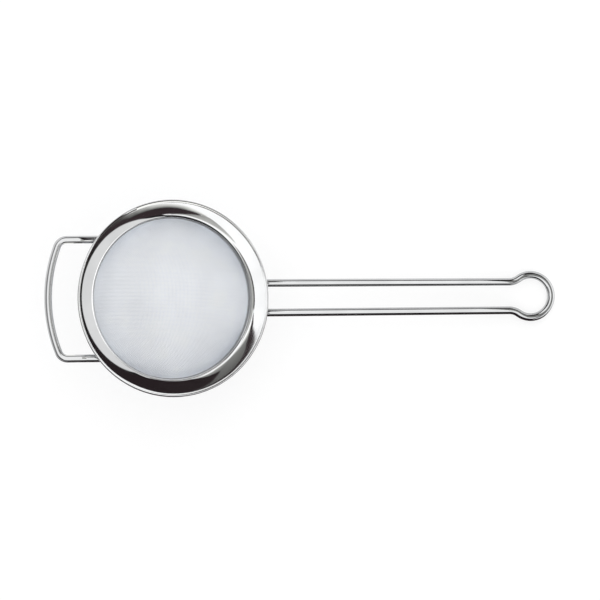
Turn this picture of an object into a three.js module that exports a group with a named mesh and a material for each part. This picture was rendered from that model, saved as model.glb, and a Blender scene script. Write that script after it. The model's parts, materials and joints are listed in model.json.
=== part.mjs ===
// Mesh strainer: a pressed rim ring, a bowl of wire cloth held by a clamp ring, a handle bent from one wire
// with a hanging loop at its end, a wire rest loop opposite it, and the welds that hold both wires.
//
// The strainer is drawn in its own frame, in mm: the bowl's axis is Z, the top of the rim is at z = 0 and the
// handle points along +X. The whole of it is then tipped about Y until it lies as on a table, on the bowl's
// bottom and the end of the handle. The origin is under the middle of the part, on the table.
import * as THREE from "three";

// The rim ring, pressed from one sheet. Slopes are in degrees from the level.
const rimDiameter = 120;
const sheetThickness = 0.7;
const beadDiameter = 2.4;
const flangeWidth = 8.2;
const flangeOuterSlope = 10;
const flangeInnerSlope = 24;
const lipRadius = 3.2;
const collarHeight = 2;

// The wire cloth, drawn as a coarser net, and the ring that clamps its edge.
const clothWire = 0.7;
const clothPitch = 6.3;
const clothTuck = 2;
const clampThickness = 0.8;
const clampHeight = 4.2;
const clampDrop = 1.4;
const fitGap = 0.3;

// The handle and the rest loop, bent from the same wire. Lengths are from the bowl's axis.
const wireDiameter = 4.8;
const handleLength = 241.6;
const handleSpread = 18;
const neckSpread = 17.3;
const neckRadius = 11;
const hangLoopDiameter = 25.8;
const restSpread = 0.6 * rimDiameter;
const restLength = 77.5;
const restBendStart = 54;
const restBendRadius = 10;
const restBendAngle = 22;
const restCornerRadius = 6;
const restBowRadius = 90;
const weldLength = 2.2;
const weldThroat = 1.3;
const weldRoom = 2;

// How finely the round forms are drawn.
const rimSides = 60;
const wireSides = 12;

const rad = THREE.MathUtils.degToRad;
const wireRadius = wireDiameter / 2;
const beadRadius = beadDiameter / 2;

// The flange is an arc between its two slopes, and the lip a tighter arc that ends in the upright collar.
const flangeTop = new THREE.Vector2(
  rimDiameter / 2 - beadRadius * (1 + Math.sin(rad(flangeOuterSlope))),
  -beadRadius * (1 - Math.cos(rad(flangeOuterSlope))),
);
const flangeRadius = flangeWidth / (Math.sin(rad(flangeInnerSlope)) - Math.sin(rad(flangeOuterSlope)));
const flangeCenter = new THREE.Vector2(
  flangeTop.x + flangeRadius * Math.sin(rad(flangeOuterSlope)),
  flangeTop.y - flangeRadius * Math.cos(rad(flangeOuterSlope)),
);
const lipCenter = new THREE.Vector2(
  flangeCenter.x - (flangeRadius - lipRadius) * Math.sin(rad(flangeInnerSlope)),
  flangeCenter.y + (flangeRadius - lipRadius) * Math.cos(rad(flangeInnerSlope)),
);
const collarRadius = lipCenter.x - lipRadius;
const collarBottom = lipCenter.y - collarHeight;

// The cloth lies between the collar and the clamp ring, around the widest part of its sphere.
const clothRadius = collarRadius + sheetThickness + 2 * fitGap + clothWire / 2;
const clampInner = clothRadius + clothWire / 2 + fitGap;
const clampOuter = clampInner + clampThickness;
const clampTop = collarBottom - clampDrop + clampHeight;
const clothTop = collarBottom + 0.75 * collarHeight;
const clothCenter = new THREE.Vector3(0, 0, clothTop - clothTuck);

// The wires run level, just under the flange where it is lowest above them.
const wireEndRadius = clampOuter + fitGap;
const flangeUnder =
  flangeCenter.y + Math.sqrt((flangeRadius - sheetThickness) ** 2 - (flangeCenter.x - clampOuter) ** 2);
const wireZ = flangeUnder - fitGap - wireRadius;

function steel(color, roughness) {
  return new THREE.MeshStandardMaterial({ color, metalness: 1, roughness });
}

// The same faces with corners shared and all of them facing outward.
function closed(geometry) {
  const at = geometry.getAttribute("position");
  const order = geometry.index ? [...geometry.index.array] : [...Array(at.count).keys()];
  const points = [];
  const known = new Map();
  const corners = order.map((k) => {
    const point = new THREE.Vector3().fromBufferAttribute(at, k);
    const key = point.toArray().map((v) => Math.round(v * 1e4)).join(" ");
    if (!known.has(key)) {
      known.set(key, points.length);
      points.push(point);
    }
    return known.get(key);
  });
  const faces = [];
  let volume = 0;
  for (let k = 0; k < corners.length; k += 3) {
    const [a, b, c] = corners.slice(k, k + 3);
    if (a !== b && b !== c && c !== a) {
      faces.push([a, b, c]);
      volume += points[a].dot(points[b].clone().cross(points[c]));
    }
  }
  const outward = volume < 0 ? faces.map(([a, b, c]) => [a, c, b]) : faces;
  const result = new THREE.BufferGeometry().setFromPoints(points);
  result.setIndex(outward.flat());
  result.computeVertexNormals();
  return result;
}

function addPiece(group, name, geometry, material) {
  const mesh = new THREE.Mesh(closed(geometry), material);
  mesh.name = name;
  group.add(mesh);
}

// A closed profile of radius and height, turned round the bowl's axis.
function turned(profile) {
  const geometry = new THREE.LatheGeometry([...profile, profile[0]], rimSides);
  geometry.rotateX(Math.PI / 2);
  return geometry;
}

function arcPoints(center, radius, from, to, steps) {
  const points = [];
  for (let k = 0; k <= steps; k += 1) {
    const angle = rad(from + ((to - from) * k) / steps);
    points.push(new THREE.Vector2(center.x + radius * Math.cos(angle), center.y + radius * Math.sin(angle)));
  }
  return points;
}

// The section of a bent sheet: its polished side, then the other side one thickness away.
function sheetSection(skin) {
  const back = skin.map((point, k) => {
    const before = skin[Math.max(k - 1, 0)];
    const after = skin[Math.min(k + 1, skin.length - 1)];
    const along = after.clone().sub(before).normalize();
    return new THREE.Vector2(point.x - along.y * sheetThickness, point.y + along.x * sheetThickness);
  });
  return [...skin, ...back.reverse()];
}

// From the free edge of the curl over the bead, the flange and the lip, down to the edge of the collar.
function rimGeometry() {
  const beadCenter = new THREE.Vector2(rimDiameter / 2 - beadRadius, -beadRadius);
  const skin = [
    ...arcPoints(beadCenter, beadRadius, -140, 90 - flangeOuterSlope, 6),
    ...arcPoints(flangeCenter, flangeRadius, 90 + flangeOuterSlope, 90 + flangeInnerSlope, 3),
    ...arcPoints(lipCenter, lipRadius, 90 + flangeInnerSlope, 180, 4).slice(1),
    new THREE.Vector2(collarRadius, collarBottom),
  ];
  return turned(sheetSection(skin));
}

function clampGeometry() {
  const edge = clampThickness / 4;
  const bottom = clampTop - clampHeight;
  return turned([
    new THREE.Vector2(clampInner, bottom),
    new THREE.Vector2(clampOuter - edge, bottom),
    new THREE.Vector2(clampOuter, bottom + edge),
    new THREE.Vector2(clampOuter, clampTop - edge),
    new THREE.Vector2(clampOuter - edge, clampTop),
    new THREE.Vector2(clampInner, clampTop),
  ]);
}

// Where the crossings of a square cloth come when it is draped over the bowl's sphere without its wires
// stretching. Each new crossing is the last one's mirror image in the plane through its two neighbours.
function drapedCrossings() {
  const step = clothPitch / clothRadius;
  const count = Math.ceil((Math.PI / 2 + 0.3) / step) + 1;
  const grid = [];
  for (let i = 0; i <= count; i += 1) {
    grid.push([]);
    for (let j = 0; j <= count; j += 1) {
      if (i === 0 || j === 0) {
        const angle = (i + j) * step;
        const side = Math.sin(angle);
        grid[i].push(new THREE.Vector3(i ? side : 0, j ? side : 0, -Math.cos(angle)).multiplyScalar(clothRadius));
      } else {
        const mirror = grid[i - 1][j].clone().cross(grid[i][j - 1]).normalize();
        grid[i].push(grid[i - 1][j - 1].clone().reflect(mirror));
      }
    }
  }
  return (i, j) => {
    const point = grid[Math.abs(i)][Math.abs(j)].clone();
    return point.multiply(new THREE.Vector3(i < 0 ? -1 : 1, j < 0 ? -1 : 1, 1)).add(clothCenter);
  };
}

// The cloth as one net. A crossing has an inner and an outer point and four corners between its wires. Each
// length of wire joins two crossings, and at the edge of the cloth it ends in a flat cut.
function clothGeometry() {
  const crossing = drapedCrossings();
  const half = clothWire / 2;
  const shortest = 1.4;
  const directions = [[1, 0], [0, 1], [-1, 0], [0, -1]];
  const points = [];
  const faces = [];
  const nodes = new Map();

  const addPoint = (point) => points.push(point) - 1;
  const addQuad = (a, b, c, d) => faces.push(a, b, c, a, c, d);
  const join = (from, to) => {
    for (let k = 0; k < 4; k += 1) {
      addQuad(from[k], from[(k + 1) % 4], to[(k + 1) % 4], to[k]);
    }
  };

  const addNode = (i, j) => {
    const at = crossing(i, j);
    const inward = clothCenter.clone().sub(at).normalize();
    const along = [crossing(i + 1, j).sub(crossing(i - 1, j)), crossing(i, j + 1).sub(crossing(i, j - 1))];
    const [a, b] = along.map((v) => v.projectOnPlane(inward).normalize());
    const spread = half / a.clone().cross(b).length();
    const corner = (p, q) => addPoint(at.clone().addScaledVector(a, p * spread).addScaledVector(b, q * spread));
    nodes.set(`${i} ${j}`, {
      i,
      j,
      at,
      top: addPoint(at.clone().addScaledVector(inward, half)),
      bottom: addPoint(at.clone().addScaledVector(inward, -half)),
      corners: [corner(1, 1), corner(-1, 1), corner(-1, -1), corner(1, -1)],
    });
  };

  // The ring of four points where a wire leaves a crossing, seen along the wire.
  const leaving = (node, k) => [node.top, node.corners[k], node.bottom, node.corners[(k + 3) % 4]];

  const addCut = (node, k) => {
    const [di, dj] = directions[k];
    const beyond = crossing(node.i + di, node.j + dj);
    const share = (clothTop - node.at.z) / (beyond.z - node.at.z);
    const run = beyond.sub(node.at);
    const end = node.at.clone().addScaledVector(run, Math.max(share, shortest / run.length()));
    const inward = clothCenter.clone().sub(end).normalize();
    end.copy(clothCenter).addScaledVector(inward, -clothRadius);
    const left = inward.clone().cross(run).normalize();
    const ring = [
      addPoint(end.clone().addScaledVector(inward, half)),
      addPoint(end.clone().addScaledVector(left, half)),
      addPoint(end.clone().addScaledVector(inward, -half)),
      addPoint(end.clone().addScaledVector(left, -half)),
    ];
    join(leaving(node, k), ring);
    addQuad(...ring);
  };

  const addRows = (si, sj) => {
    let last = Infinity;
    for (let i = si > 0 ? 0 : 1; crossing(si * i, 0).z < clothTop; i += 1) {
      let j = 0;
      while (j < last && crossing(si * i, sj * j).z < clothTop) {
        if (!nodes.has(`${si * i} ${sj * j}`)) {
          addNode(si * i, sj * j);
        }
        j += 1;
      }
      last = j;
    }
  };

  for (const [si, sj] of [[1, 1], [-1, 1], [-1, -1], [1, -1]]) {
    addRows(si, sj);
  }
  for (const node of nodes.values()) {
    directions.forEach(([di, dj], k) => {
      const next = nodes.get(`${node.i + di} ${node.j + dj}`);
      if (!next) {
        addCut(node, k);
      } else if (k < 2) {
        const [top, left, bottom, right] = leaving(next, k + 2);
        join(leaving(node, k), [top, right, bottom, left]);
      }
    });
  }
  const geometry = new THREE.BufferGeometry().setFromPoints(points);
  geometry.setIndex(faces);
  return geometry;
}

// An arc in space, from its centre and two square directions.
class SpaceArc extends THREE.Curve {
  constructor(center, first, second, radius, from, to) {
    super();
    Object.assign(this, { center, first, second, radius, from, to });
  }

  getPoint(t, target = new THREE.Vector3()) {
    const angle = this.from + (this.to - this.from) * t;
    target.copy(this.center).addScaledVector(this.first, this.radius * Math.cos(angle));
    return target.addScaledVector(this.second, this.radius * Math.sin(angle));
  }
}

// A wire's centre line: straight runs and bends in a row, each with its own number of steps.
class BentWire extends THREE.Curve {
  constructor(runs) {
    super();
    this.runs = runs;
    this.steps = runs.reduce((sum, [, steps]) => sum + steps, 0);
  }

  place(t) {
    let left = t * this.steps;
    for (const [curve, steps] of this.runs) {
      if (left <= steps + 1e-6) {
        return [curve, Math.min(left / steps, 1)];
      }
      left -= steps;
    }
    return [this.runs[this.runs.length - 1][0], 1];
  }

  getPoint(t, target = new THREE.Vector3()) {
    const [curve, u] = this.place(t);
    return target.copy(curve.getPoint(u));
  }

  getTangent(t, target = new THREE.Vector3()) {
    const [curve, u] = this.place(t);
    return target.copy(curve.getTangent(u));
  }

  getUtoTmapping(u) {
    return u;
  }
}

function wireSection() {
  const section = new THREE.Shape();
  for (let k = 0; k < wireSides; k += 1) {
    const angle = ((k + 0.5) / wireSides) * 2 * Math.PI;
    const move = k === 0 ? "moveTo" : "lineTo";
    section[move](wireRadius * Math.cos(angle), wireRadius * Math.sin(angle));
  }
  section.closePath();
  return section;
}

// A wire along its line, with both ends shaped to the clamp ring that they are welded to.
function wireGeometry(path, startX) {
  const geometry = new THREE.ExtrudeGeometry(wireSection(), { steps: path.steps, extrudePath: path });
  const at = geometry.getAttribute("position");
  for (let k = 0; k < at.count; k += 1) {
    if (Math.abs(at.getX(k) - startX) < 0.05) {
      at.setX(k, Math.sign(startX) * Math.sqrt(wireEndRadius ** 2 - at.getY(k) ** 2));
    }
  }
  return geometry;
}

function line(from, to) {
  return new THREE.LineCurve3(from, to);
}

// The corners of a straight leg: its welded end, a spot just clear of the weld, and its far end.
function weldedLeg(end, far) {
  return [end, end.clone().lerp(far, weldRoom / end.distanceTo(far)), far];
}

function straightRuns(corners) {
  return corners.slice(1).map((to, k) => [line(corners[k], to), 1]);
}

const xAxis = new THREE.Vector3(1, 0, 0);
const yAxis = new THREE.Vector3(0, 1, 0);
const zAxis = new THREE.Vector3(0, 0, 1);
const hangLoopRadius = hangLoopDiameter / 2;
const hangLoopX = handleLength - wireRadius - hangLoopRadius;

// Out along one side, through the neck, round the hanging loop and back along the other side.
function handleGeometry() {
  const side = handleSpread / 2;
  const neckSide = neckSpread / 2;
  const startX = wireEndRadius + 3;
  const rise = neckSide + neckRadius;
  const neckX = hangLoopX - Math.sqrt((neckRadius + hangLoopRadius) ** 2 - rise ** 2);
  const meet = Math.atan2(-rise, hangLoopX - neckX);
  const spot = (x, y) => new THREE.Vector3(x, y, wireZ);
  const bend = (x, y, radius, from, to) => new SpaceArc(spot(x, y), xAxis, yAxis, radius, from, to);
  const path = new BentWire([
    ...straightRuns(weldedLeg(spot(startX, side), spot(neckX, neckSide))),
    [bend(neckX, rise, neckRadius, -Math.PI / 2, meet), 4],
    [bend(hangLoopX, 0, hangLoopRadius, meet + Math.PI, -meet - Math.PI), 18],
    [bend(neckX, -rise, neckRadius, -meet, Math.PI / 2), 4],
    ...straightRuns(weldedLeg(spot(startX, -side), spot(neckX, -neckSide)).reverse()),
  ]);
  return wireGeometry(path, startX);
}

// Level from under the rim, bent down, then a flat loop with round corners and a bowed crossbar.
function restGeometry() {
  const side = restSpread / 2;
  const startX = -wireEndRadius + 8;
  const bendAngle = rad(restBendAngle);
  const bendEndX = -restBendStart - restBendRadius * Math.sin(bendAngle);
  const bendEndZ = wireZ - restBendRadius * (1 - Math.cos(bendAngle));
  const outward = new THREE.Vector3(-Math.cos(bendAngle), 0, -Math.sin(bendAngle));
  const bow = Math.asin((side - restCornerRadius) / (restBowRadius - restCornerRadius));
  const crown = (restLength - wireRadius + bendEndX) / Math.cos(bendAngle);
  const bowCenter = crown - restBowRadius;
  const corner = bowCenter + (restBowRadius - restCornerRadius) * Math.cos(bow);
  const spot = (s, y) => new THREE.Vector3(bendEndX, y, bendEndZ).addScaledVector(outward, s);
  const level = (x, y) => new THREE.Vector3(x, y, wireZ);
  const bend = (y, from, to) => {
    const center = level(-restBendStart, y).addScaledVector(zAxis, -restBendRadius);
    return new SpaceArc(center, zAxis, xAxis.clone().negate(), restBendRadius, from, to);
  };
  const flat = (s, y, radius, from, to) => new SpaceArc(spot(s, y), outward, yAxis, radius, from, to);
  const cornerSide = side - restCornerRadius;
  const path = new BentWire([
    ...straightRuns(weldedLeg(level(startX, side), level(-restBendStart, side))),
    [bend(side, 0, bendAngle), 3],
    [line(spot(0, side), spot(corner, side)), 1],
    [flat(corner, cornerSide, restCornerRadius, Math.PI / 2, bow), 5],
    [flat(bowCenter, 0, restBowRadius, bow, -bow), 10],
    [flat(corner, -cornerSide, restCornerRadius, -bow, -Math.PI / 2), 5],
    [line(spot(corner, -side), spot(0, -side)), 1],
    [bend(-side, bendAngle, 0), 3],
    ...straightRuns(weldedLeg(level(startX, -side), level(-restBendStart, -side)).reverse()),
  ]);
  return wireGeometry(path, startX);
}

// A fillet round the lower part of a wire, where its end meets the clamp ring. Its section is drawn along the
// wire and away from it, then each point is moved so that the fillet starts on the ring.
function weldGeometry(y, facing) {
  const gap = 0.2;
  const inner = wireRadius + gap;
  const section = new THREE.Shape();
  section.moveTo(0, 0);
  section.lineTo(0, -weldThroat);
  section.lineTo(-0.2 * weldLength, -0.72 * weldThroat);
  section.lineTo(-0.55 * weldLength, -0.34 * weldThroat);
  section.lineTo(-weldLength, -0.12 * weldThroat);
  section.lineTo(-weldLength, 0);
  section.closePath();
  const path = new SpaceArc(new THREE.Vector3(0, y, wireZ), yAxis, zAxis, inner, rad(152), rad(388));
  const geometry = new THREE.ExtrudeGeometry(section, { steps: 12, extrudePath: path });
  const at = geometry.getAttribute("position");
  for (let k = 0; k < at.count; k += 1) {
    const seat = Math.sqrt(wireEndRadius ** 2 - at.getY(k) ** 2);
    at.setX(k, facing * (seat + Math.abs(at.getX(k))));
  }
  return geometry;
}

// How far the strainer tips until the hanging loop's end is as low as the bottom of the bowl.
function restTilt() {
  const reach = hangLoopX + hangLoopRadius;
  const rise = wireZ - clothCenter.z;
  const drop = clothRadius + clothWire / 2 - wireRadius;
  return Math.asin(drop / Math.hypot(reach, rise)) + Math.atan2(rise, reach);
}

const strainer = new THREE.Group();
strainer.name = "strainer";
addPiece(strainer, "rim_ring", rimGeometry(), steel(0xd8dadc, 0.12));
addPiece(strainer, "clamp_ring", clampGeometry(), steel(0xc4c7ca, 0.25));
addPiece(strainer, "mesh_bowl", clothGeometry(), steel(0xcfd3d7, 0.3));
addPiece(strainer, "handle_wire", handleGeometry(), steel(0xdadcde, 0.12));
addPiece(strainer, "rest_loop", restGeometry(), steel(0xd9dbdd, 0.12));
for (const [name, side] of [["left", 1], ["right", -1]]) {
  const weld = () => steel(0xb9bcc0, 0.35);
  addPiece(strainer, `handle_weld_${name}`, weldGeometry((side * handleSpread) / 2, 1), weld());
  addPiece(strainer, `rest_weld_${name}`, weldGeometry((side * restSpread) / 2, -1), weld());
}

strainer.rotation.y = restTilt();
strainer.updateMatrixWorld(true);
const bounds = new THREE.Box3().setFromObject(strainer, true);
const middle = bounds.getCenter(new THREE.Vector3());
strainer.position.set(-middle.x, -middle.y, -bounds.min.z);

const part = new THREE.Group();
part.name = "mesh_strainer";
part.add(strainer);

export default part;
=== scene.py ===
"""The finished look of the mesh strainer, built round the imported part.

Each piece is drawn in the strainer's own frame, in mm, as in the part's source: the bowl's axis is Z, the
top of the rim is at z = 0 and the handle points along +X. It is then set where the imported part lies, in
metres. The floor, the cards and the light stand in the part's frame.
"""

import json
import math

import bpy
import numpy as np
from mathutils import Matrix, Vector


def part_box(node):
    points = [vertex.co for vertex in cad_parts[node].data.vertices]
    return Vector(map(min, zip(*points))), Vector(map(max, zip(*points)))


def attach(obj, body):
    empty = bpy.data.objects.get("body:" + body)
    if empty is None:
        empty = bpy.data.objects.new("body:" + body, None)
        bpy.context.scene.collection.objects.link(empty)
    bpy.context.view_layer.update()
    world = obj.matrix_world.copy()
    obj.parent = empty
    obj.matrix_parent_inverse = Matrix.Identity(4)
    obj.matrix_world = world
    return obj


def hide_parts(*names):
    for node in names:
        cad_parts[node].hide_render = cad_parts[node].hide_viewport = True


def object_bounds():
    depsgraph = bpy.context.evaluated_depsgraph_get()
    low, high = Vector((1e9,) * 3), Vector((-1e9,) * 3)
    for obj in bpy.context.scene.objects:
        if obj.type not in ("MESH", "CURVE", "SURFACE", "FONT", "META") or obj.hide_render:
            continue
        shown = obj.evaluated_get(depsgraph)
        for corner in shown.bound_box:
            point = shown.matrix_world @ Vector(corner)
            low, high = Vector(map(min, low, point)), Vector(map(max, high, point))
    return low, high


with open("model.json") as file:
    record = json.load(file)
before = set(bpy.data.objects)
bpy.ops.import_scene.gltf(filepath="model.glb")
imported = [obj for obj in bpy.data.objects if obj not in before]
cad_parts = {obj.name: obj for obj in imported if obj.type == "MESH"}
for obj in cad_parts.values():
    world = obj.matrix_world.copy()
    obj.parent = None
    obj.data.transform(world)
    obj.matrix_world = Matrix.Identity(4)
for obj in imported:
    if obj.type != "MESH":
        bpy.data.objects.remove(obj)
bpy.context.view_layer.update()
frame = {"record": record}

MM = 0.001

# The rim ring, pressed from one sheet. Slopes and turns are in degrees.
RIM_DIAMETER = 120
SHEET = 0.7
BEAD_DIAMETER = 2.4
CURL_START = -140
FLANGE_WIDTH = 8.2
FLANGE_OUTER_SLOPE = 10
FLANGE_INNER_SLOPE = 24
LIP_RADIUS = 3.2
COLLAR_HEIGHT = 2

# The cloth as it is woven, on the sphere of the part's net, and the ring that clamps its edge. The edge
# covers a share of the collar's height, and a wire with too few crossings falls out of it.
CLOTH_WIRE = 0.28
CLOTH_PITCH = 0.83
CLOTH_TUCK = 2
COLLAR_COVER = 0.75
FEWEST_CROSSINGS = 3
NET_WIRE = 0.7
CLAMP_THICKNESS = 0.8
CLAMP_HEIGHT = 4.2
CLAMP_DROP = 1.4
CLAMP_EDGE = 0.25
FIT_GAP = 0.3

# The handle and the rest loop, bent from the same wire. Lengths are from the bowl's axis.
WIRE_DIAMETER = 4.8
HANDLE_LENGTH = 241.6
HANDLE_SPREAD = 18
NECK_SPREAD = 17.3
NECK_RADIUS = 11
HANG_LOOP_DIAMETER = 25.8
REST_SPREAD = 72
REST_LENGTH = 77.5
REST_BEND_START = 54
REST_BEND_RADIUS = 10
REST_BEND_ANGLE = 22
REST_CORNER_RADIUS = 6
REST_BOW_RADIUS = 90

# Where the line of each wire starts before its end is drawn up to the clamp ring: the handle's out from the
# ring's radius, and the rest loop's in from it.
HANDLE_START = 3
REST_START = 8

# The welds, from one turn to another round the wire, in degrees. A weld thins over a share of its way round
# at both ends, has ripples, is hollow across and reaches into the wire and the clamp ring. Its length along
# the wire is steadier than its throat.
WELD_LENGTH = 2.2
WELD_THROAT = 1.3
WELD_START = 152
WELD_END = 388
WELD_TAPER = 0.12
WELD_THINNEST = 0.05
WELD_RIPPLES = 11
WELD_RIPPLE_HEIGHT = 0.07
WELD_HOLLOW = 1.8
WELD_STEADY = 0.6
WELD_BURY = 0.2

# How finely the round forms are drawn.
RIM_SIDES = 240
CURL_STEPS = 24
FLANGE_STEPS = 12
LIP_STEPS = 12
COLLAR_STEPS = 4
SHEET_EDGE_STEPS = 6
CLAMP_EDGE_STEPS = 4
WIRE_SIDES = 32
LEG_STEPS = 23
NECK_STEPS = 16
HANG_LOOP_STEPS = 48
REST_LEG_STEPS = 5
REST_BEND_STEPS = 8
REST_CORNER_STEPS = 16
REST_BOW_STEPS = 24
WELD_STEPS = 60
WELD_FACE_STEPS = 8

# A wire of the cloth has six sides, and each of its ends is closed by two faces.
CLOTH_SIDES = 6
CLOTH_END_FACES = ((0, 1, 2, 3), (0, 3, 4, 5))

# The bake map: its middle, how much of each strip its faces fill, and the places and sizes of the discs of
# two caps and of the ends of the cloth's wires.
MAP_MIDDLE = 0.5
STRIP_FILL = 0.9
CAP_DISC = 0.04
CAP_PLACES = ((0.05, 0.95), (0.15, 0.95))
CLOTH_END_SIZE = 0.001

# Steel. Clouds and waves are in cells to the metre. The rim's polish ends this far along the sheet from the
# edge of its curl, in mm. Beyond it the sheet is duller, and painted shade, at levels that come at shares of
# its width, darkens the lower lip most, and the collar next to the cloth and the sheet's back less.
CLOUD_SCALE = 55.0
WAVE_SCALE = 90.0
NOISE_RANGE = (0.3, 0.7)
CLOUD_SHADES = (0.94, 1.04)
STREAK_SHARES = (0.75, 1.3)
POLISH_END = 15.2
PAINTED_SHADE_WIDTH = 4
PAINTED_SHADE_LEVELS = ((0, 1.0), (0.12, 0.34), (0.4, 0.34), (0.65, 0.6))
DULL_WIDTH = 0.8
DULL_ROUGHNESS = 0.15

# The floor, in metres, and the glow that brings its colour up to white where the light falls on it.
FLOOR_HALF = 30.0
FLOOR_SHADE = 0.35
FLOOR_GLOW = 0.69

# The cards over the flange hang in three layers, and the lower ones hide the higher.
LOW_LAYER = 199
MIDDLE_LAYER = 200
HIGH_LAYER = 201
BLACK = (0.028, 0.02, 0.022)
BROWN = (0.045, 0.032, 0.035)
GRAY = (1.0, 1.0, 0.96)

# The light. A direction leans from straight up along X and along Y, by the tangent of its angle, and every
# edge fades between two such leans.
LEAST_RISE = 0.01
LAMP_LEVEL = 1.42
LAMP_LEFT = (-0.78, -0.68)
LAMP_RIGHT = (0.74, 0.8)
LAMP_FRONT = (-1.35, -1.1)
LAMP_BACK = (1.05, 1.2)
RIGHT_WALL_LEVEL = 0.97
RIGHT_WALL_TOP = (1.11, 1.165)
RIGHT_WALL_BOW = 0.063
RIGHT_WALL_MIDDLE = -1.12
LOW_WALL_LEVEL = 1.0
LOW_WALL_TOP = (3.5, 3.9)
BACK_WALL_LEVEL = 1.0
BACK_WALL_TOP = (1.1, 1.2)
BACK_WALL_STEP = 0.25
BACK_WALL_STEP_PLACE = (0.95, 1.15)
LEFT_WALL_LEVEL = 0.4
LEFT_WALL_TOP = (-0.78, -0.7)
LEFT_WALL_FRONT = (-1.2, -0.9)
DARK_LEVEL = 0.02
WHITE_LEVEL = 1.0

# Where the photograph was taken from: the direction towards the camera in the strainer's frame, how far the
# picture is turned, in degrees, and where the middle of the picture lies from the middle of the rim.
SIGHT = Vector((-0.25863, -0.02363, 0.9657))
ROLL = 0.7
AIM_RIGHT = 77.0
AIM_UP = -1.06
CAMERA_DISTANCE = 12000
CAMERA_REACH = 100000
PICTURE_WIDTH = 363.9

BEAD_RADIUS = BEAD_DIAMETER / 2
WIRE_RADIUS = WIRE_DIAMETER / 2

# The flange is an arc between its two slopes, and the lip a tighter arc that ends in the upright collar.
outer_slope = math.radians(FLANGE_OUTER_SLOPE)
inner_slope = math.radians(FLANGE_INNER_SLOPE)
flange_radius = FLANGE_WIDTH / (math.sin(inner_slope) - math.sin(outer_slope))
bead_center = Vector((RIM_DIAMETER / 2 - BEAD_RADIUS, -BEAD_RADIUS))
bead_to_flange = Vector((math.sin(outer_slope), -math.cos(outer_slope)))
flange_center = bead_center + (flange_radius - BEAD_RADIUS) * bead_to_flange
flange_to_lip = Vector((-math.sin(inner_slope), math.cos(inner_slope)))
lip_center = flange_center + (flange_radius - LIP_RADIUS) * flange_to_lip
collar_radius = lip_center.x - LIP_RADIUS
collar_bottom = lip_center.y - COLLAR_HEIGHT

# The cloth lies between the collar and the clamp ring, around the widest part of its sphere.
cloth_radius = collar_radius + SHEET + 2 * FIT_GAP + NET_WIRE / 2
clamp_inner = cloth_radius + NET_WIRE / 2 + FIT_GAP
clamp_outer = clamp_inner + CLAMP_THICKNESS
clamp_bottom = collar_bottom - CLAMP_DROP
clamp_top = clamp_bottom + CLAMP_HEIGHT
cloth_middle = collar_bottom + COLLAR_COVER * COLLAR_HEIGHT - CLOTH_TUCK

# The wires run level, just under the flange where it is lowest above them.
flange_inside = flange_radius - SHEET
flange_under = flange_center.y + math.sqrt(flange_inside**2 - (flange_center.x - clamp_outer) ** 2)
wire_z = flange_under - FIT_GAP - WIRE_RADIUS


def placing():
    """The way from the strainer's own frame, in mm, to the part's frame, in metres."""
    axis = next(mount["axis"] for mount in frame["record"]["mounts"] if mount["name"] == "rim_top")
    tipped = Matrix.Rotation(math.atan2(axis[0], axis[2]), 4, "Y") @ Matrix.Scale(MM, 4)
    low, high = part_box("clamp_ring")
    middle = tipped @ Vector((0, 0, (clamp_top + clamp_bottom) / 2))
    return Matrix.Translation((low + high) / 2 - middle) @ tipped


PLACE = placing()


def add_piece(name, node, points, faces, bake_map, grain, material):
    """A smooth mesh in place of a CAD node.

    The grain, a vector at each point, is what the fine lines of the material follow.
    """
    place = np.array(PLACE)
    mesh = bpy.data.meshes.new(name)
    mesh.from_pydata((points @ place[:3, :3].T + place[:3, 3]).tolist(), [], faces)
    mesh.shade_smooth()
    layer = mesh.uv_layers.new(name="OFBake")
    layer.data.foreach_set("uv", np.asarray(bake_map, dtype=np.float32).ravel())
    attribute = mesh.attributes.new("grain", "FLOAT_VECTOR", "POINT")
    attribute.data.foreach_set("vector", np.asarray(grain, dtype=np.float32).ravel())
    mesh.materials.append(material)
    piece = bpy.data.objects.new(name, mesh)
    bpy.context.scene.collection.objects.link(piece)
    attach(piece, "root")
    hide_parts(node)


def round_angles(sides):
    """The angles of even points round a circle, in radians."""
    return np.arange(sides) / sides * 2 * math.pi


def quad_corners(runs, sides):
    """The ring and the side of each corner of the faces between rings, for so many runs between them."""
    row, side = np.meshgrid(np.arange(runs), np.arange(sides), indexing="ij")
    rows = np.stack((row, row + 1, row + 1, row), axis=-1).reshape(-1, 4)
    columns = np.stack((side, side, side + 1, side + 1), axis=-1).reshape(-1, 4)
    return rows, columns


def ring_skin(rings, looped):
    """The faces over a row of equal rings of points, with their bake map.

    A row that isn't looped gets two caps.
    """
    count, sides = rings.shape[:2]
    rows, columns = quad_corners(count if looped else count - 1, sides)
    faces = ((rows % count) * sides + columns % sides).tolist()
    bake_map = [np.stack((rows / count, columns / sides * STRIP_FILL), axis=-1).reshape(-1, 2)]
    if not looped:
        angles = round_angles(sides)
        disc = CAP_DISC * np.column_stack((np.cos(angles), np.sin(angles)))
        faces.append(list(range(sides)))
        faces.append(list(range(count * sides - 1, (count - 1) * sides - 1, -1)))
        bake_map += [disc + CAP_PLACES[0], disc[::-1] + CAP_PLACES[1]]
    return faces, np.concatenate(bake_map)


def arc(center, radius, start, end, steps):
    """Points on an arc in a section, between two angles in degrees."""
    angles = np.radians(np.linspace(start, end, steps + 1))
    return np.column_stack((center[0] + radius * np.cos(angles), center[1] + radius * np.sin(angles)))


def space_arc(center, first, second, radius, start, end, steps):
    """Points on an arc in space, from its centre and two square directions. Angles are in radians."""
    angles = np.linspace(start, end, steps + 1)[:, None]
    unit = np.cos(angles) * np.array(first) + np.sin(angles) * np.array(second)
    return np.array(center) + radius * unit


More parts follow.
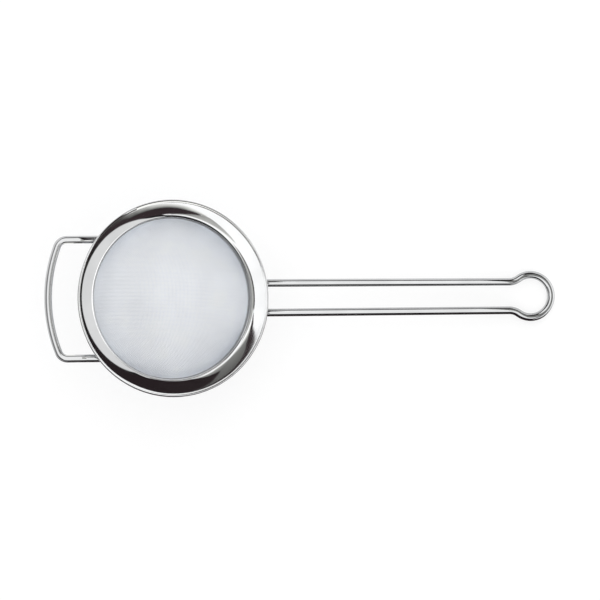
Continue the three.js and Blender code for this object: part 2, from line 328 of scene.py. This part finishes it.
def directions(path):
    """The unit direction of a line of points at each of them."""
    runs = np.diff(path, axis=0)
    runs /= np.linalg.norm(runs, axis=1)[:, None]
    mean = np.vstack((runs[:1], runs[:-1] + runs[1:], runs[-1:]))
    return mean / np.linalg.norm(mean, axis=1)[:, None]


def lengths(path):
    """How far along a line of points each of them lies."""
    return np.concatenate(([0], np.cumsum(np.linalg.norm(np.diff(path, axis=0), axis=1))))


def tube_rings(path, beside, across, radius, sides):
    """A ring of points round each point of a line, from two directions that are square to the line there."""
    angles = round_angles(sides)
    cosine = np.cos(angles)[:, None]
    sine = np.sin(angles)[:, None]
    return path[:, None] + radius * (cosine * beside[:, None] + sine * across[:, None])


def sheet_section(skin):
    """The closed section of a bent sheet, from the line of its polished side. Its two edges are rounded."""
    along = directions(skin)
    across = np.column_stack((-along[:, 1], along[:, 0]))
    back = skin + SHEET * across
    turn = np.radians(np.linspace(0, 180, SHEET_EDGE_STEPS + 1)[1:-1])[:, None]
    end = (skin[-1] + back[-1]) / 2 + SHEET / 2 * (np.sin(turn) * along[-1] - np.cos(turn) * across[-1])
    start = (skin[0] + back[0]) / 2 + SHEET / 2 * (np.cos(turn) * across[0] - np.sin(turn) * along[0])
    return np.vstack((skin, end, back[::-1], start))


def add_turned(name, node, section, material):
    """A closed section of radius and height, turned round the bowl's axis."""
    angles = round_angles(RIM_SIDES)
    shape = (RIM_SIDES, len(section))
    cosine = np.broadcast_to(np.cos(angles)[:, None], shape)
    sine = np.broadcast_to(np.sin(angles)[:, None], shape)
    radius = section[:, 0]
    height = np.broadcast_to(section[:, 1], shape)
    rings = np.stack((cosine * radius, sine * radius, height), axis=-1)
    grain = np.stack((cosine, sine, np.broadcast_to(lengths(section), shape)), axis=-1)
    faces, bake_map = ring_skin(rings, looped=True)
    add_piece(name, node, rings.reshape(-1, 3), faces, bake_map, grain.reshape(-1, 3), material)


def add_rim(material):
    """The rim ring: the curl, the bead, the flange, the lip and the short collar."""
    flange_start = 90 + FLANGE_OUTER_SLOPE
    flange_end = 90 + FLANGE_INNER_SLOPE
    collar_start = (collar_radius, lip_center.y)
    collar_end = (collar_radius, collar_bottom)
    skin = np.vstack((
        arc(bead_center, BEAD_RADIUS, CURL_START, flange_start, CURL_STEPS),
        arc(flange_center, flange_radius, flange_start, flange_end, FLANGE_STEPS)[1:],
        arc(lip_center, LIP_RADIUS, flange_end, 180, LIP_STEPS)[1:],
        np.linspace(collar_start, collar_end, COLLAR_STEPS + 1)[1:],
    ))
    add_turned("rim", "rim_ring", sheet_section(skin), material)


def add_clamp(material):
    """The clamp ring: a band with rounded edges."""
    corners = (
        (clamp_inner + CLAMP_EDGE, clamp_bottom + CLAMP_EDGE, 180),
        (clamp_outer - CLAMP_EDGE, clamp_bottom + CLAMP_EDGE, 270),
        (clamp_outer - CLAMP_EDGE, clamp_top - CLAMP_EDGE, 0),
        (clamp_inner + CLAMP_EDGE, clamp_top - CLAMP_EDGE, 90),
    )
    arcs = [arc((x, z), CLAMP_EDGE, start, start + 90, CLAMP_EDGE_STEPS) for x, z, start in corners]
    add_turned("clamp", "clamp_ring", np.vstack(arcs), material)


def add_wire(name, node, path, facing, material):
    """A round wire along a line of points, with both ends shaped to the clamp ring that they meet."""
    along = directions(path)
    across = [Vector((0, 0, 1))]
    for before, after in zip(along[:-1], along[1:]):
        across.append(Vector(before).rotation_difference(Vector(after)) @ across[-1])
    across = np.array(across)
    rings = tube_rings(path, np.cross(along, across), across, WIRE_RADIUS, WIRE_SIDES)
    for ring in (rings[0], rings[-1]):
        ring[:, 0] = facing * np.sqrt(clamp_outer**2 - ring[:, 1] ** 2)
    angles = round_angles(WIRE_SIDES)
    grain = np.empty(rings.shape)
    grain[:, :, 0] = np.cos(angles)
    grain[:, :, 1] = np.sin(angles)
    grain[:, :, 2] = lengths(path)[:, None]
    faces, bake_map = ring_skin(rings, looped=False)
    add_piece(name, node, rings.reshape(-1, 3), faces, bake_map, grain.reshape(-1, 3), material)


def with_mirror_image(half):
    """The whole line of a wire, from one end to its middle, and back on the other side."""
    return np.vstack((half, half[-2::-1] * (1, -1, 1)))


def add_handle(material):
    """Out along one side, through the neck, round the hanging loop and back along the other side."""
    loop_radius = HANG_LOOP_DIAMETER / 2
    loop_x = HANDLE_LENGTH - WIRE_RADIUS - loop_radius
    rise = NECK_SPREAD / 2 + NECK_RADIUS
    neck_x = loop_x - math.sqrt((NECK_RADIUS + loop_radius) ** 2 - rise**2)
    meet = math.atan2(-rise, loop_x - neck_x)
    leg_start = (clamp_outer + HANDLE_START, HANDLE_SPREAD / 2, wire_z)
    leg_end = (neck_x, NECK_SPREAD / 2, wire_z)
    flat = ((1, 0, 0), (0, 1, 0))
    half = np.vstack((
        np.linspace(leg_start, leg_end, LEG_STEPS + 1),
        space_arc((neck_x, rise, wire_z), *flat, NECK_RADIUS, -math.pi / 2, meet, NECK_STEPS)[1:],
        space_arc((loop_x, 0, wire_z), *flat, loop_radius, meet + math.pi, 0, HANG_LOOP_STEPS)[1:],
    ))
    add_wire("handle", "handle_wire", with_mirror_image(half), 1, material)


def add_rest(material):
    """Level from under the rim, bent down, then a flat loop with round corners and a bowed crossbar."""
    side = REST_SPREAD / 2
    bend = math.radians(REST_BEND_ANGLE)
    bend_x = -REST_BEND_START - REST_BEND_RADIUS * math.sin(bend)
    bend_z = wire_z - REST_BEND_RADIUS * (1 - math.cos(bend))
    outward = np.array((-math.cos(bend), 0, -math.sin(bend)))
    bow = math.asin((side - REST_CORNER_RADIUS) / (REST_BOW_RADIUS - REST_CORNER_RADIUS))
    crown = (REST_LENGTH - WIRE_RADIUS + bend_x) / math.cos(bend)
    bow_middle = crown - REST_BOW_RADIUS
    corner = bow_middle + (REST_BOW_RADIUS - REST_CORNER_RADIUS) * math.cos(bow)
    down = ((0, 0, 1), (-1, 0, 0))
    flat = (outward, (0, 1, 0))

    def spot(s, y):
        return np.array((bend_x, y, bend_z)) + s * outward

    leg_start = (REST_START - clamp_outer, side, wire_z)
    leg_end = (-REST_BEND_START, side, wire_z)
    bend_center = (-REST_BEND_START, side, wire_z - REST_BEND_RADIUS)
    corner_center = spot(corner, side - REST_CORNER_RADIUS)
    half = np.vstack((
        np.linspace(leg_start, leg_end, REST_LEG_STEPS + 1),
        space_arc(bend_center, *down, REST_BEND_RADIUS, 0, bend, REST_BEND_STEPS)[1:],
        np.linspace(spot(0, side), spot(corner, side), REST_LEG_STEPS + 1)[1:],
        space_arc(corner_center, *flat, REST_CORNER_RADIUS, math.pi / 2, bow, REST_CORNER_STEPS)[1:],
        space_arc(spot(bow_middle, 0), *flat, REST_BOW_RADIUS, bow, 0, REST_BOW_STEPS)[1:],
    ))
    add_wire("rest", "rest_loop", with_mirror_image(half), -1, material)


def add_weld(name, node, y, facing, material):
    """A rippled fillet round the lower part of a wire, where its end meets the clamp ring."""
    angles = np.radians(np.linspace(WELD_START, WELD_END, WELD_STEPS + 1))
    share = np.linspace(0, 1, len(angles))
    taper = np.sqrt(np.clip(np.minimum(share, 1 - share) / WELD_TAPER, WELD_THINNEST, 1))
    ripple = 1 + WELD_RIPPLE_HEIGHT * np.sin(share * WELD_RIPPLES * 2 * math.pi)
    size = (taper * ripple)[:, None]
    run = np.linspace(0, 1, WELD_FACE_STEPS + 1)
    face = WELD_THROAT * (1 - run) ** WELD_HOLLOW
    along = np.concatenate(([-WELD_BURY, -WELD_BURY], run * WELD_LENGTH, [WELD_LENGTH]))
    away = np.concatenate(([-WELD_BURY, WELD_THROAT], face, [-WELD_BURY]))
    radius = WIRE_RADIUS + np.where(away > 0, away * size, away)
    ring_y = y + radius * np.cos(angles)[:, None]
    ring_z = wire_z + radius * np.sin(angles)[:, None]
    seat = np.sqrt(clamp_outer**2 - ring_y**2)
    reach = WELD_STEADY + (1 - WELD_STEADY) * size
    ring_x = facing * (seat + np.where(along > 0, along * reach, along))
    rings = np.stack((ring_x, ring_y, ring_z), axis=-1)
    faces, bake_map = ring_skin(rings, looped=False)
    points = rings.reshape(-1, 3)
    add_piece(name, node, points, faces, bake_map, points, material)


def draped_quarter():
    """Where the crossings of a square cloth come on a unit sphere, draped without its wires stretching.

    Each new crossing is the last one's mirror image in the plane through its two neighbours.
    """
    past_widest_angle = 0.3
    step = CLOTH_PITCH / cloth_radius
    count = math.ceil((math.pi / 2 + past_widest_angle) / step) + 1
    angles = np.arange(count) * step
    nothing = np.zeros(count)
    grid = np.zeros((count, count, 3))
    grid[:, 0] = np.column_stack((np.sin(angles), nothing, -np.cos(angles)))
    grid[0, :] = np.column_stack((nothing, np.sin(angles), -np.cos(angles)))
    for diagonal in range(2, 2 * count - 1):
        i = np.arange(max(1, diagonal - count + 1), min(diagonal, count))
        j = diagonal - i
        mirror = np.cross(grid[i - 1, j], grid[i, j - 1])
        mirror /= np.linalg.norm(mirror, axis=1)[:, None]
        last = grid[i - 1, j - 1]
        grid[i, j] = last - 2 * np.sum(last * mirror, axis=1)[:, None] * mirror
    return grid


def cloth_wires(quarter, family, half):
    """Half of the wires of one family: each one's number, its crossings' numbers and their places."""
    inside = quarter[:, :, 2] < CLOTH_TUCK / cloth_radius
    ends = np.minimum.accumulate(np.argmin(inside, axis=1))
    last = int(np.argmax(ends < FEWEST_CROSSINGS))
    numbers = range(1 - last, 0) if half == "low" else range(last)
    for number in numbers:
        crossings = np.arange(1 - ends[abs(number)], ends[abs(number)])
        places = quarter[abs(number), np.abs(crossings)].copy()
        places[:, 0] *= np.sign(number)
        places[:, 1] *= np.sign(crossings)
        if family == "weft":
            places = places[:, [1, 0, 2]]
        yield number, crossings, places


def add_cloth(quarter, family, half, material):
    """Half of the wires of one family, each waving over and under those that it crosses."""
    lift = CLOTH_WIRE / 2 if family == "warp" else -CLOTH_WIRE / 2
    span = 2 * len(quarter)
    end_map = np.full((2, 4, 2), CLOTH_END_SIZE) * np.arange(1, 5)[None, :, None]
    points, faces, bake_map = [], [], []
    start = 0
    for number, crossings, places in cloth_wires(quarter, family, half):
        wave = lift * (1 - 2 * ((number + crossings) % 2))
        path = places * (cloth_radius + wave)[:, None] + (0, 0, cloth_middle)
        along = directions(path)
        beside = np.cross(along, places)
        beside /= np.linalg.norm(beside, axis=1)[:, None]
        rings = tube_rings(path, beside, np.cross(beside, along), CLOTH_WIRE / 2, CLOTH_SIDES)
        points.append(rings.reshape(-1, 3))
        runs = len(path) - 1
        rows, columns = quad_corners(runs, CLOTH_SIDES)
        faces.append(start + rows * CLOTH_SIDES + columns % CLOTH_SIDES)
        strip = (number + columns / CLOTH_SIDES * STRIP_FILL) / span + MAP_MIDDLE
        bake_map.append(np.stack((strip, (crossings[0] + rows) / span + MAP_MIDDLE), axis=-1))
        for first in (start, start + runs * CLOTH_SIDES):
            faces.append(first + np.array(CLOTH_END_FACES))
            bake_map.append(end_map)
        start += len(path) * CLOTH_SIDES
    points = np.concatenate(points)
    faces = np.concatenate(faces).tolist()
    bake_map = np.concatenate([part.reshape(-1, 2) for part in bake_map])
    add_piece(f"cloth_{family}_{half}", "mesh_bowl", points, faces, bake_map, points, material)


def new_material(name):
    """An empty node material, with its tree and its surface shader."""
    material = bpy.data.materials.new(name)
    material.use_nodes = True
    return material, material.node_tree, material.node_tree.nodes["Principled BSDF"]


def add_node(tree, kind, inputs=None, **settings):
    """A node with these settings. An input takes a value, or the output of another node."""
    node = tree.nodes.new(kind)
    for name, value in settings.items():
        setattr(node, name, value)
    for name, value in (inputs or {}).items():
        if isinstance(value, bpy.types.NodeSocket):
            tree.links.new(value, node.inputs[name])
        else:
            node.inputs[name].default_value = value
    return node


def add_maths(tree, operation, *values):
    """The result of an operation on numbers or outputs."""
    return add_node(tree, "ShaderNodeMath", dict(enumerate(values)), operation=operation).outputs[0]


def add_ramp(tree, value, edge, low, high, **settings):
    """A value that goes from low to high between the two ends of an edge, and stays there beyond them."""
    inputs = {"Value": value, "From Min": edge[0], "From Max": edge[1], "To Min": low, "To Max": high}
    return add_node(tree, "ShaderNodeMapRange", inputs, **settings).outputs["Result"]


def noise(tree, vector, scale, detail):
    """A smooth random pattern, from 0 to 1."""
    inputs = {"Vector": vector, "Scale": scale, "Detail": detail}
    return add_node(tree, "ShaderNodeTexNoise", inputs).outputs["Fac"]


def steel_tint(tree, color, place):
    """The colour of steel, a little darker and paler in soft clouds."""
    clouds = noise(tree, place, CLOUD_SCALE, detail=2)
    dark, pale = [(*[shade * c for c in color], 1) for shade in CLOUD_SHADES]
    inputs = {"Factor": add_ramp(tree, clouds, NOISE_RANGE, 0, 1), "A": dark, "B": pale}
    return add_node(tree, "ShaderNodeMix", inputs, data_type="RGBA").outputs["Result"]


def streaked(tree, roughness, grain, grain_scale):
    """A roughness that varies in fine lines along the grain."""
    lines = add_node(tree, "ShaderNodeMapping", {"Vector": grain, "Scale": grain_scale}).outputs["Vector"]
    least, most = [share * roughness for share in STREAK_SHARES]
    return add_ramp(tree, noise(tree, lines, 1, detail=3), NOISE_RANGE, least, most)


def dull_with_painted_shade(tree, grain, base, rough):
    """The colour and the roughness of a sheet that is duller where its polish ends, and darkened beyond it
    by painted shade.
    """
    across = add_node(tree, "ShaderNodeSeparateXYZ", {"Vector": grain}).outputs["Z"]
    beyond = add_ramp(tree, across, (POLISH_END, POLISH_END + PAINTED_SHADE_WIDTH), 0, 1)
    shade = add_node(tree, "ShaderNodeValToRGB", {"Fac": beyond})
    stops = shade.color_ramp.elements
    stops[1].position = PAINTED_SHADE_LEVELS[1][0]
    for position, _ in PAINTED_SHADE_LEVELS[2:]:
        stops.new(position)
    for stop, (_, level) in zip(stops, PAINTED_SHADE_LEVELS):
        stop.color = (level, level, level, 1)
    inputs = {"Factor": 1.0, "A": base, "B": shade.outputs["Color"]}
    with_painted_shade = add_node(tree, "ShaderNodeMix", inputs, data_type="RGBA", blend_type="MULTIPLY")
    dull = add_ramp(tree, across, (POLISH_END, POLISH_END + DULL_WIDTH), 0, 1)
    return with_painted_shade.outputs["Result"], add_maths(tree, "MULTIPLY_ADD", dull, DULL_ROUGHNESS, rough)


def steel(name, color, roughness, grain_scale, wave_height, polish_ends_in_painted_shade=False):
    """Stainless steel, with fine lines the way it was drawn or polished and a slightly wavy surface."""
    material, tree, shader = new_material(name)
    grain = add_node(tree, "ShaderNodeAttribute", attribute_name="grain").outputs["Vector"]
    place = add_node(tree, "ShaderNodeTexCoord").outputs["Object"]
    base = steel_tint(tree, color, place)
    rough = streaked(tree, roughness, grain, grain_scale)
    # Past its polish the sheet is duller, and painted shade darkens the lower lip and the collar next to the
    # cloth.
    if polish_ends_in_painted_shade:
        base, rough = dull_with_painted_shade(tree, grain, base, rough)
    waves = noise(tree, place, WAVE_SCALE, detail=1)
    inputs = {"Height": waves, "Distance": wave_height * MM, "Strength": 1.0}
    bump = add_node(tree, "ShaderNodeBump", inputs)
    tree.links.new(base, shader.inputs["Base Color"])
    tree.links.new(rough, shader.inputs["Roughness"])
    tree.links.new(bump.outputs["Normal"], shader.inputs["Normal"])
    shader.inputs["Metallic"].default_value = 1.0
    return material


def polished_steel_and_painted_shade():
    """The rim's mirror polish, which ends below the lip, where painted shade darkens the lip and the collar.
    """
    return steel(
        "polished_steel_and_painted_shade",
        color=(0.68, 0.685, 0.69),
        roughness=0.05,
        grain_scale=(6, 6, 3),
        wave_height=0.008,
        polish_ends_in_painted_shade=True,
    )


def drawn_wire():
    """The bright wire of the handle and the rest loop."""
    return steel(
        "drawn_wire",
        color=(0.56, 0.565, 0.57),
        roughness=0.06,
        grain_scale=(4, 4, 0.05),
        wave_height=0.004,
    )


def satin_steel():
    """The clamp ring, as it was rolled."""
    return steel(
        "satin_steel",
        color=(0.6, 0.605, 0.61),
        roughness=0.25,
        grain_scale=(6, 6, 3),
        wave_height=0.01,
    )


def weld_metal():
    """The welds, rougher than the rest."""
    return steel(
        "weld_metal",
        color=(0.55, 0.55, 0.55),
        roughness=0.33,
        grain_scale=(1.5, 1.5, 1.5),
        wave_height=0.05,
    )


def woven_wire():
    """The fine pale wire of the cloth."""
    return steel(
        "woven_wire",
        color=(0.915, 0.945, 0.99),
        roughness=0.4,
        grain_scale=(0.4, 0.4, 0.4),
        wave_height=0.0,
    )


def add_pieces():
    """Every piece of the strainer."""
    wire = drawn_wire()
    weld = weld_metal()
    cloth = woven_wire()
    add_rim(polished_steel_and_painted_shade())
    add_clamp(satin_steel())
    add_handle(wire)
    add_rest(wire)
    for side, sign in (("left", 1), ("right", -1)):
        add_weld(f"handle_bead_{side}", f"handle_weld_{side}", sign * HANDLE_SPREAD / 2, 1, weld)
        add_weld(f"rest_bead_{side}", f"rest_weld_{side}", sign * REST_SPREAD / 2, -1, weld)
    quarter = draped_quarter()
    for family in ("warp", "weft"):
        for half in ("low", "high"):
            add_cloth(quarter, family, half, cloth)


def floor_material():
    """Gray to the light that falls on it, white to the camera and in mirrors, and clear from below."""
    material, tree, shader = new_material("floor")
    shader.inputs["Base Color"].default_value = (FLOOR_SHADE, FLOOR_SHADE, FLOOR_SHADE, 1)
    shader.inputs["Roughness"].default_value = 1.0
    shader.inputs["Specular IOR Level"].default_value = 0.0
    shader.inputs["Emission Color"].default_value = (1, 1, 1, 1)
    path = add_node(tree, "ShaderNodeLightPath").outputs
    direct = add_maths(tree, "ADD", path["Is Camera Ray"], path["Is Glossy Ray"])
    seen = add_maths(tree, "ADD", direct, path["Is Transmission Ray"])
    tree.links.new(add_maths(tree, "MULTIPLY", seen, FLOOR_GLOW), shader.inputs["Emission Strength"])
    back = add_node(tree, "ShaderNodeNewGeometry").outputs["Backfacing"]
    clear = add_node(tree, "ShaderNodeBsdfTransparent").outputs["BSDF"]
    mix = add_node(tree, "ShaderNodeMixShader", {0: back, 1: shader.outputs["BSDF"], 2: clear})
    tree.links.new(mix.outputs["Shader"], tree.nodes["Material Output"].inputs["Surface"])
    material.cycles.emission_sampling = "NONE"
    return material


def add_floor():
    """A white floor that takes the part's shadow."""
    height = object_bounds()[0].z
    turns = ((-1, -1), (1, -1), (1, 1), (-1, 1))
    corners = [(x * FLOOR_HALF, y * FLOOR_HALF, height) for x, y in turns]
    mesh = bpy.data.meshes.new("floor")
    mesh.from_pydata(corners, [], [(0, 1, 2, 3)])
    mesh.materials.append(floor_material())
    floor = bpy.data.objects.new("floor", mesh)
    bpy.context.scene.collection.objects.link(floor)


def card_material():
    """What the cards are made of. Each corner of a card has a glow of its own."""
    material, tree, shader = new_material("card")
    shader.inputs["Base Color"].default_value = (0, 0, 0, 1)
    shader.inputs["Specular IOR Level"].default_value = 0.0
    glow = add_node(tree, "ShaderNodeAttribute", attribute_name="glow")
    tree.links.new(glow.outputs["Color"], shader.inputs["Emission Color"])
    shader.inputs["Emission Strength"].default_value = 1.0
    material.cycles.emission_sampling = "NONE"
    return material


def add_card(name, height, tint, near, far, material):
    """A level strip of card over the part, between two edges with as many corners.

    Each corner has a place, in mm, and a glow. Only what mirrors the card shows it.
    """
    corners = near + far
    count = len(near)
    faces = [(k, k + 1, count + k + 1, count + k) for k in range(count - 1)]
    mesh = bpy.data.meshes.new(name)
    mesh.from_pydata([(x * MM, y * MM, height * MM) for x, y, _ in corners], [], faces)
    attribute = mesh.attributes.new("glow", "FLOAT_COLOR", "POINT")
    for item, (_, _, glow) in zip(attribute.data, corners):
        item.color = (*[glow * c for c in tint], 1)
    mesh.materials.append(material)
    card = bpy.data.objects.new(name, mesh)
    bpy.context.scene.collection.objects.link(card)
    for rays in ("camera", "diffuse", "transmission", "volume_scatter", "shadow"):
        setattr(card, f"visible_{rays}", False)


def even(*outline, glow=1):
    """An edge of a card with the same glow at all its corners."""
    return [(x, y, glow) for x, y in outline]


def add_back_cards(material):
    """What the flange mirrors along its far side: black, and gray with a brown wedge before it."""
    near = even((-1, 7), (-10, 20), (-20, 36), (-36, 56), (-33, 66), (-26, 92), (-14, 135), (30, 195))
    far = even((12, 8), (25, 16), (40, 30), (55, 47), (66, 63), (76, 80), (78, 100), (80, 195))
    add_card("card_back", MIDDLE_LAYER, BLACK, near, far, material)
    near = [(4, 9, 0.1), (-25, 60, 0.15), (-22, 110, 0.45)]
    middle = [(-61, 28, 0.28), (-60, 60, 0.32), (-43, 86, 0.5)]
    far = even((-74, 28), (-70, 62), (-50, 95), glow=1.3)
    add_card("card_gray", HIGH_LAYER, GRAY, near, middle, material)
    add_card("card_gray_edge", HIGH_LAYER, GRAY, middle, far, material)
    near = even((-2, 9), (-8, 13), (-17, 15), (-32, 22), (-47, 29), (-60, 29), (-69, 27), (-77, 19))
    far = even((-5, 4), (-11, 5.5), (-20, 9.5), (-32, 14), (-46, 18.5), (-56, 21), (-68, 19), (-75, 15))
    add_card("card_wedge", LOW_LAYER, BROWN, near, far, material)


def add_front_cards(material):
    """What the flange mirrors along its near side: a brown card that fades in, and dusk beyond it."""
    near = [
        *even((-20, -33), (-14, -29), glow=1.3),
        *even((-5, -12), (-3, -6), glow=1.2),
        (-2, -3, 1.1),
        (-1, -1, 0.7),
        (0, 0, 0.4),
        (2, 0.5, 0.06),
    ]
    far = [
        (-23, -42, 0.5),
        *even((-19, -48), (-7, -44), (2, -36), (8, -36), (14, -36), (21, -35), (28, -34), glow=0.06),
    ]
    add_card("card_fade", LOW_LAYER, GRAY, near, far, material)
    near = even(
        (-19, -47), (-7, -43), (2, -35), (11, -35), (20, -34), (24, -34), (27, -33), (2, 1), (4, 2),
    )
    far = even(
        (-21, -55), (-9, -82), (12, -101), (38, -109), (58, -99), (60, -82), (54, -61), (41, -31), (29, -12),
    )
    add_card("card_front", MIDDLE_LAYER, BROWN, near, far, material)
    near = [
        *even((12, -100), (-9, -80), glow=0.3),
        (-20, -50, 0.4),
        *even((-23, -39), (-33, -43), glow=0.5),
        (-43, -43, 0.6),
        (-57, -39, 0.8),
    ]
    far = [
        *even((14, -110), (-9, -97), glow=0.8),
        *even((-28, -86), (-36, -79), (-45, -70), (-52, -61), glow=0.7),
        (-60, -45, 0.8),
    ]
    add_card("card_dusk", HIGH_LAYER, GRAY, near, far, material)


def add_low_cards(material):
    """Pale cards low over the part, for the light lines on the far side of the bead and on the rest loop."""
    rim_height = 80
    rest_height = 64
    near = even((-19, 26), (-31, 39.5), (-48, 48), (-67, 51), (-88, 47.5), glow=1.4)
    far = even((-6, 34), (-22, 51), (-43, 63), (-67, 67), (-94, 62), glow=1.4)
    add_card("card_rim", rim_height, GRAY, near, far, material)
    near = [(-6, 34, 0.4), (-22, 51, 0.4), (-43, 63, 0.2), (-67, 67, 0.1), (-94, 62, 0.1)]
    far = [(15, 46, 0.4), (-6, 70, 0.4), (-35, 86, 0.2), (-67, 92, 0.1), (-103, 85, 0.1)]
    add_card("card_rim_edge", rim_height, GRAY, near, far, material)
    near = even((-149, -34), (-149, 34), glow=1.3)
    far = even((-139, -34), (-139, 34), glow=1.3)
    add_card("card_rest", rest_height, GRAY, near, far, material)


def add_left_cards(material):
    """What the left of the rim mirrors: a black line and a gray card, and black on the bead."""
    bead_height = 110
    near = even((-75, -60), (-75, 14))
    far = even((-83, -60), (-83, 14))
    add_card("card_edge", MIDDLE_LAYER, BLACK, near, far, material)
    near = even((-83, -60), (-83, 60), glow=0.55)
    far = even((-135, -60), (-135, 60), glow=0.55)
    add_card("card_left", MIDDLE_LAYER, GRAY, near, far, material)
    near = even((-84, 56), (-98, 40), (-110, 20))
    far = even((-122, 112), (-150, 90), (-128, 44))
    add_card("card_bead", bead_height, BLACK, near, far, material)


def add_wide_cards(material):
    """Dark cards along both sides of the wires, and a gray one with a black edge by the hanging loop."""
    behind_height = 150
    floor_height = 0.5
    end_height = 100
    near = even((-260, 148), (300, 148))
    far = even((-260, 400), (300, 400))
    add_card("card_behind", behind_height, BLACK, near, far, material)
    near = even((-260, -72), (-40, -72), (-40, -14), (600, -14))
    far = even((-260, -3000), (-40, -3000), (-40, -3000), (600, -3000))
    add_card("card_floor", floor_height, BROWN, near, far, material)
    near = even((180, -45), (168, 60), glow=0.3) + even((168, 60), (168, 105), glow=0)
    far = even((310, -45), (310, 60), glow=0.3) + even((310, 60), (310, 105), glow=0)
    add_card("card_end", end_height, GRAY, near, far, material)


def add_cards():
    """The cards that a photographer hangs round bright metal, to give it its dark and light lines."""
    material = card_material()
    add_back_cards(material)
    add_front_cards(material)
    add_low_cards(material)
    add_left_cards(material)
    add_wide_cards(material)


def add_light():
    """A wide soft light overhead, white walls at the right and the back, and a gray one at the left.

    The rest is dark, and the camera sees white in place of all of it.
    """
    world = bpy.data.worlds.new("studio")
    bpy.context.scene.world = world
    world.use_nodes = True
    tree = world.node_tree

    def maths(operation, first, second):
        return add_maths(tree, operation, first, second)

    def ramp(value, edge, low, high):
        return add_ramp(tree, value, edge, low, high, interpolation_type="SMOOTHSTEP")

    direction = add_node(tree, "ShaderNodeTexCoord").outputs["Generated"]
    parts = add_node(tree, "ShaderNodeSeparateXYZ", {"Vector": direction}).outputs
    rise = maths("MAXIMUM", parts["Z"], LEAST_RISE)
    lean_x = maths("DIVIDE", parts["X"], rise)
    lean_y = maths("DIVIDE", parts["Y"], rise)

    across = maths("MULTIPLY", ramp(lean_x, LAMP_LEFT, 0, 1), ramp(lean_x, LAMP_RIGHT, 1, 0))
    along = maths("MULTIPLY", ramp(lean_y, LAMP_FRONT, 0, 1), ramp(lean_y, LAMP_BACK, 1, 0))
    lamp = maths("MULTIPLY", maths("MULTIPLY", across, along), LAMP_LEVEL)

    # The top of the right wall bows away from its middle, and the wall is brighter low down.
    off_middle = maths("SUBTRACT", lean_y, RIGHT_WALL_MIDDLE)
    bow = maths("MULTIPLY", maths("MULTIPLY", off_middle, off_middle), RIGHT_WALL_BOW)
    bowed = maths("SUBTRACT", lean_x, bow)
    high = ramp(bowed, RIGHT_WALL_TOP, 0, RIGHT_WALL_LEVEL)
    right = maths("ADD", high, ramp(bowed, LOW_WALL_TOP, 0, LOW_WALL_LEVEL))

    # The back wall steps away at its right.
    stepped = maths("SUBTRACT", lean_y, ramp(lean_x, BACK_WALL_STEP_PLACE, 0, BACK_WALL_STEP))
    back = ramp(stepped, BACK_WALL_TOP, 0, BACK_WALL_LEVEL)
    left_side = ramp(lean_x, LEFT_WALL_TOP, LEFT_WALL_LEVEL, 0)
    left = maths("MULTIPLY", left_side, ramp(lean_y, LEFT_WALL_FRONT, 0, 1))

    walls = maths("MAXIMUM", maths("MAXIMUM", right, back), left)
    level = maths("ADD", maths("MAXIMUM", lamp, walls), DARK_LEVEL)
    seen = add_node(tree, "ShaderNodeLightPath").outputs["Is Camera Ray"]
    shown = add_node(tree, "ShaderNodeMix", {"Factor": seen, "A": level, "B": WHITE_LEVEL})
    background = tree.nodes["Background"]
    background.inputs["Color"].default_value = (1, 1, 1, 1)
    tree.links.new(shown.outputs["Result"], background.inputs["Strength"])


def add_camera():
    """The camera at the photograph's viewing angle, with the picture turned as the photograph is."""
    sight = (PLACE.to_3x3().normalized() @ SIGHT).normalized()
    level = Vector((1, 0, 0))
    flat_right = (level - level.dot(sight) * sight).normalized()
    flat_up = sight.cross(flat_right)
    roll = math.radians(ROLL)
    right = math.cos(roll) * flat_right - math.sin(roll) * flat_up
    up = math.sin(roll) * flat_right + math.cos(roll) * flat_up
    aim = PLACE @ Vector((0, 0, -BEAD_RADIUS)) + (AIM_RIGHT * right + AIM_UP * up) * MM
    turn = Matrix((right, up, sight)).transposed().to_4x4()
    camera = bpy.data.objects.new("camera", bpy.data.cameras.new("camera"))
    camera.matrix_world = Matrix.Translation(aim + CAMERA_DISTANCE * MM * sight) @ turn
    camera.data.lens = camera.data.sensor_width * CAMERA_DISTANCE / PICTURE_WIDTH
    camera.data.clip_end = CAMERA_REACH * MM
    bpy.context.scene.collection.objects.link(camera)
    bpy.context.scene.camera = camera


add_pieces()
add_floor()
add_cards()
add_light()
add_camera()
bpy.context.scene.view_settings.view_transform = "Standard"
